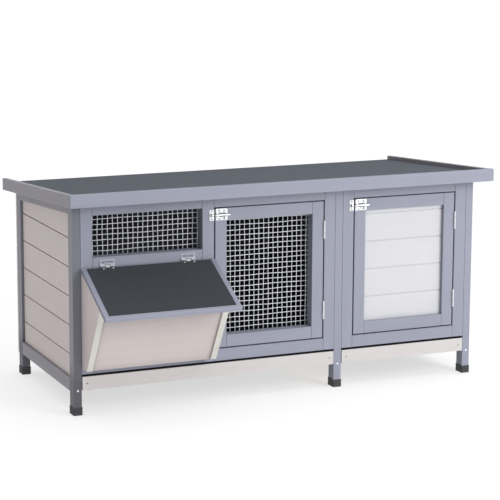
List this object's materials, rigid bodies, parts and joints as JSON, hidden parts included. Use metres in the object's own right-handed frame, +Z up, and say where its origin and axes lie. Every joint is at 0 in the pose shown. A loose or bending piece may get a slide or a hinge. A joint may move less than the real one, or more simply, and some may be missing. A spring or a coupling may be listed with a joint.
{
  "type": "rabbit hutch",
  "caption": "Low wooden rabbit hutch on short legs: felt lean-to roof, wire window, mesh door, planked door, hay hopper with a lid and pull-out trays.",
  "frame": {"origin": "middle of the object's box, on the floor, with the doors, lid and trays closed", "axes": "+X to the right seen from the front, +Y towards the back, +Z up"},
  "size_m": [1.12, 0.6838, 0.536],
  "materials": {
    "gray_painted_wood": "satin paint over fir grain",
    "cream_painted_wood": "satin paint over fir grain",
    "white_painted_wood": "satin paint over fir grain",
    "plain_wood": "planed, unpainted",
    "roofing_felt": "mineral grit on bitumen",
    "zinc_hardware": "bright zinc plate",
    "galvanised_wire": "galvanised",
    "foot_cap_rubber": "matte moulded",
    "tray_plastic": "fine matte texture"
  },
  "bodies": {
    "hutch": {"back_centre_foot_cap": "foot_cap_rubber", "back_centre_post": "gray_painted_wood", "back_left_foot_cap": "foot_cap_rubber", "back_left_post": "gray_painted_wood", "back_right_foot_cap": "foot_cap_rubber", "back_right_post": "gray_painted_wood", "back_wall": "cream_painted_wood", "centre_tray_runner": "plain_wood", "divider_wall": "plain_wood", "feeder_front": "cream_painted_wood", "feeder_side_left": "cream_painted_wood", "feeder_side_right": "cream_painted_wood", "front_centre_foot_cap": "foot_cap_rubber", "front_centre_post": "gray_painted_wood", "front_left_foot_cap": "foot_cap_rubber", "front_left_frame": "gray_painted_wood", "front_left_post": "gray_painted_wood", "front_right_foot_cap": "foot_cap_rubber", "front_right_frame": "gray_painted_wood", "front_right_post": "gray_painted_wood", "left_bottom_rail": "gray_painted_wood", "left_top_rail": "gray_painted_wood", "left_wall_siding": "cream_painted_wood", "lid_hinge_left_fixed_leaf": "zinc_hardware", "lid_hinge_right_fixed_leaf": "zinc_hardware", "middle_door_hinge_lower_fixed_leaf": "zinc_hardware", "middle_door_hinge_upper_fixed_leaf": "zinc_hardware", "middle_door_latch_keeper": "zinc_hardware", "right_bottom_rail": "gray_painted_wood", "right_door_hinge_lower_fixed_leaf": "zinc_hardware", "right_door_hinge_upper_fixed_leaf": "zinc_hardware", "right_door_latch_keeper": "zinc_hardware", "right_top_rail": "gray_painted_wood", "right_wall_siding": "cream_painted_wood", "roof_deck": "plain_wood", "roof_fascia": "gray_painted_wood", "roof_felt": "roofing_felt", "roof_rail_left": "gray_painted_wood", "roof_rail_right": "gray_painted_wood", "window_mesh": "galvanised_wire"},
    "middle_door_bolt": {"middle_door_bolt_rod": "zinc_hardware"},
    "right_door_bolt": {"right_door_bolt_rod": "zinc_hardware"},
    "middle_door": {"middle_door_frame": "gray_painted_wood", "middle_door_mesh": "galvanised_wire", "middle_door_hinge_upper_moving_leaf": "zinc_hardware", "middle_door_hinge_lower_moving_leaf": "zinc_hardware", "middle_door_latch_plate": "zinc_hardware"},
    "right_door": {"right_door_frame": "gray_painted_wood", "right_door_planks": "white_painted_wood", "right_door_hinge_upper_moving_leaf": "zinc_hardware", "right_door_hinge_lower_moving_leaf": "zinc_hardware", "right_door_latch_plate": "zinc_hardware"},
    "feeder_lid": {"lid_board": "gray_painted_wood", "lid_felt": "roofing_felt", "lid_hinge_left_moving_leaf": "zinc_hardware", "lid_hinge_right_moving_leaf": "zinc_hardware"},
    "left_tray": {"left_tray_front": "cream_painted_wood", "left_tray_pan": "tray_plastic"},
    "right_tray": {"right_tray_front": "cream_painted_wood", "right_tray_pan": "tray_plastic"}
  },
  "joints": [
    {"name": "middle_door_hinge", "type": "hinge", "parent": "hutch", "child": "middle_door", "pos_m": [0.108, -0.16987, 0.303], "axis": [0, 0, 1], "range_deg": [0, 110]},
    {"name": "right_door_hinge", "type": "hinge", "parent": "hutch", "child": "right_door", "pos_m": [0.4752, -0.16987, 0.303], "axis": [0, 0, 1], "range_deg": [0, 110]},
    {"name": "feeder_lid_hinge", "type": "hinge", "parent": "hutch", "child": "feeder_lid", "pos_m": [-0.353, -0.16977, 0.3565], "axis": [-1, 0, 0], "range_deg": [0, 95]},
    {"name": "middle_door_bolt_slide", "type": "slide", "parent": "middle_door", "child": "middle_door_bolt", "axis": [1, 0, 0], "range_m": [-0.01, 0.003]},
    {"name": "right_door_bolt_slide", "type": "slide", "parent": "right_door", "child": "right_door_bolt", "axis": [1, 0, 0], "range_m": [-0.01, 0.003]},
    {"name": "left_tray_slide", "type": "slide", "parent": "hutch", "child": "left_tray", "axis": [0, -1, 0], "range_m": [0, 0.38]},
    {"name": "right_tray_slide", "type": "slide", "parent": "hutch", "child": "right_tray", "axis": [0, -1, 0], "range_m": [0, 0.38]}
  ]
}
